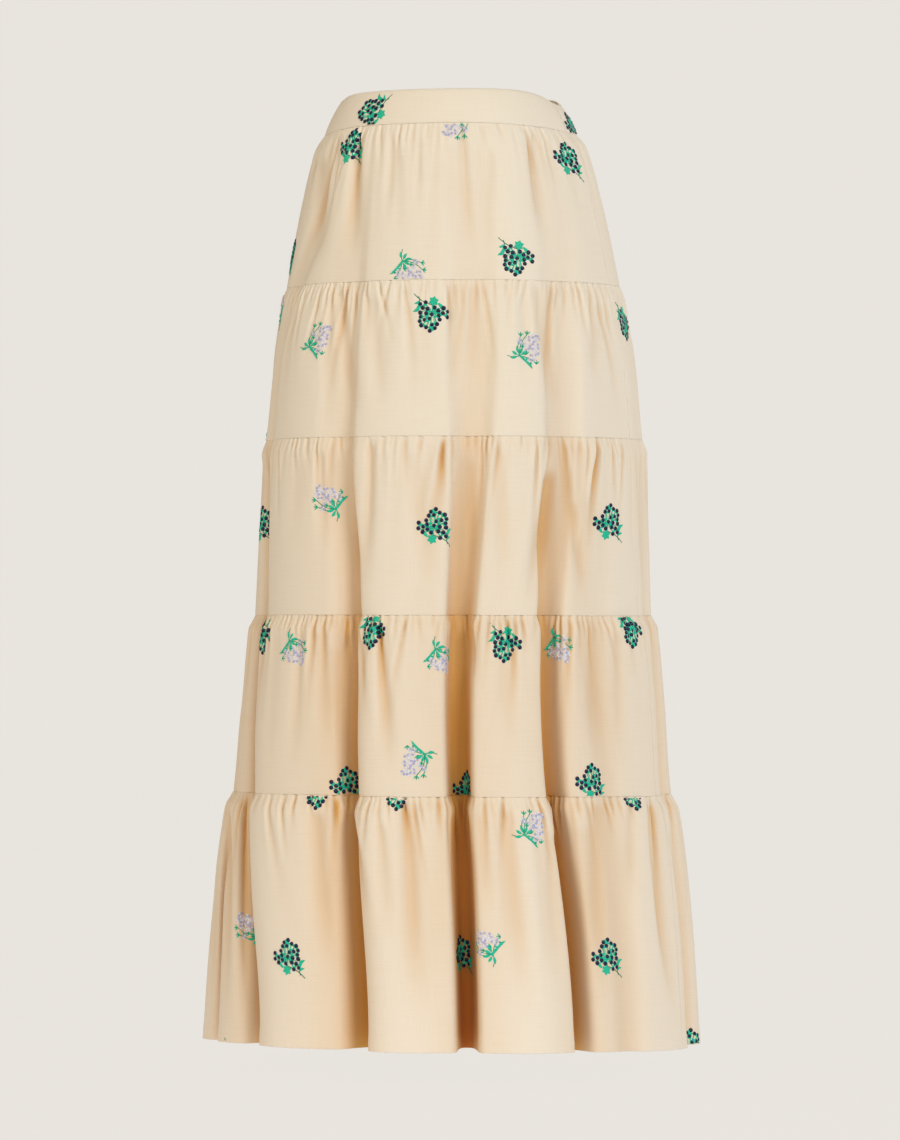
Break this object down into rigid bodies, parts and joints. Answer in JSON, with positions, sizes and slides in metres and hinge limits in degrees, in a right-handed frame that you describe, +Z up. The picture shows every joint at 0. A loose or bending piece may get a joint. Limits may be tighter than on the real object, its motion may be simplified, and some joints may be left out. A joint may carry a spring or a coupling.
{
  "type": "maxi skirt",
  "caption": "Long tiered skirt in its worn, hollow shape: a straight waistband over gathered tiers that widen to a full hem, with a concealed side zip.",
  "frame": {"origin": "middle of the waist opening, half way up the waistband, where the wearer's waist holds the skirt", "axes": "+Z up along the wearer, out of the waist opening; the skirt's front faces -Y; +X is the wearer's left"},
  "size_m": [0.5053, 0.4234, 0.9425],
  "materials": {
    "cloth_waistband": "plain woven cotton and linen, butter cream",
    "cloth_tiers": "plain woven cotton and linen, butter cream, embroidered with sprigs",
    "zip_tape": "woven zip tape with a nylon coil",
    "zip_metal": "nickel plated, smooth"
  },
  "bodies": {
    "skirt": {"waistband_front": "cloth_waistband", "waistband_back": "cloth_waistband", "tier_1_front": "cloth_tiers", "tier_1_back": "cloth_tiers", "tier_2_front": "cloth_tiers", "tier_2_back": "cloth_tiers", "tier_3_front": "cloth_tiers", "tier_3_back": "cloth_tiers", "tier_4_front": "cloth_tiers", "tier_4_back": "cloth_tiers", "tier_5_front": "cloth_tiers", "tier_5_back": "cloth_tiers", "zip_tape": "zip_tape", "zip_slider": "zip_metal"},
    "pull": {"zip_pull": "zip_metal"}
  },
  "joints": [
    {"name": "pull_swing", "type": "hinge", "parent": "skirt", "child": "pull", "pos_m": [-0.11585, 0.01764, 0.00088], "axis": [0.2471, 0.969, 0], "range_deg": [0, 170]}
  ]
}
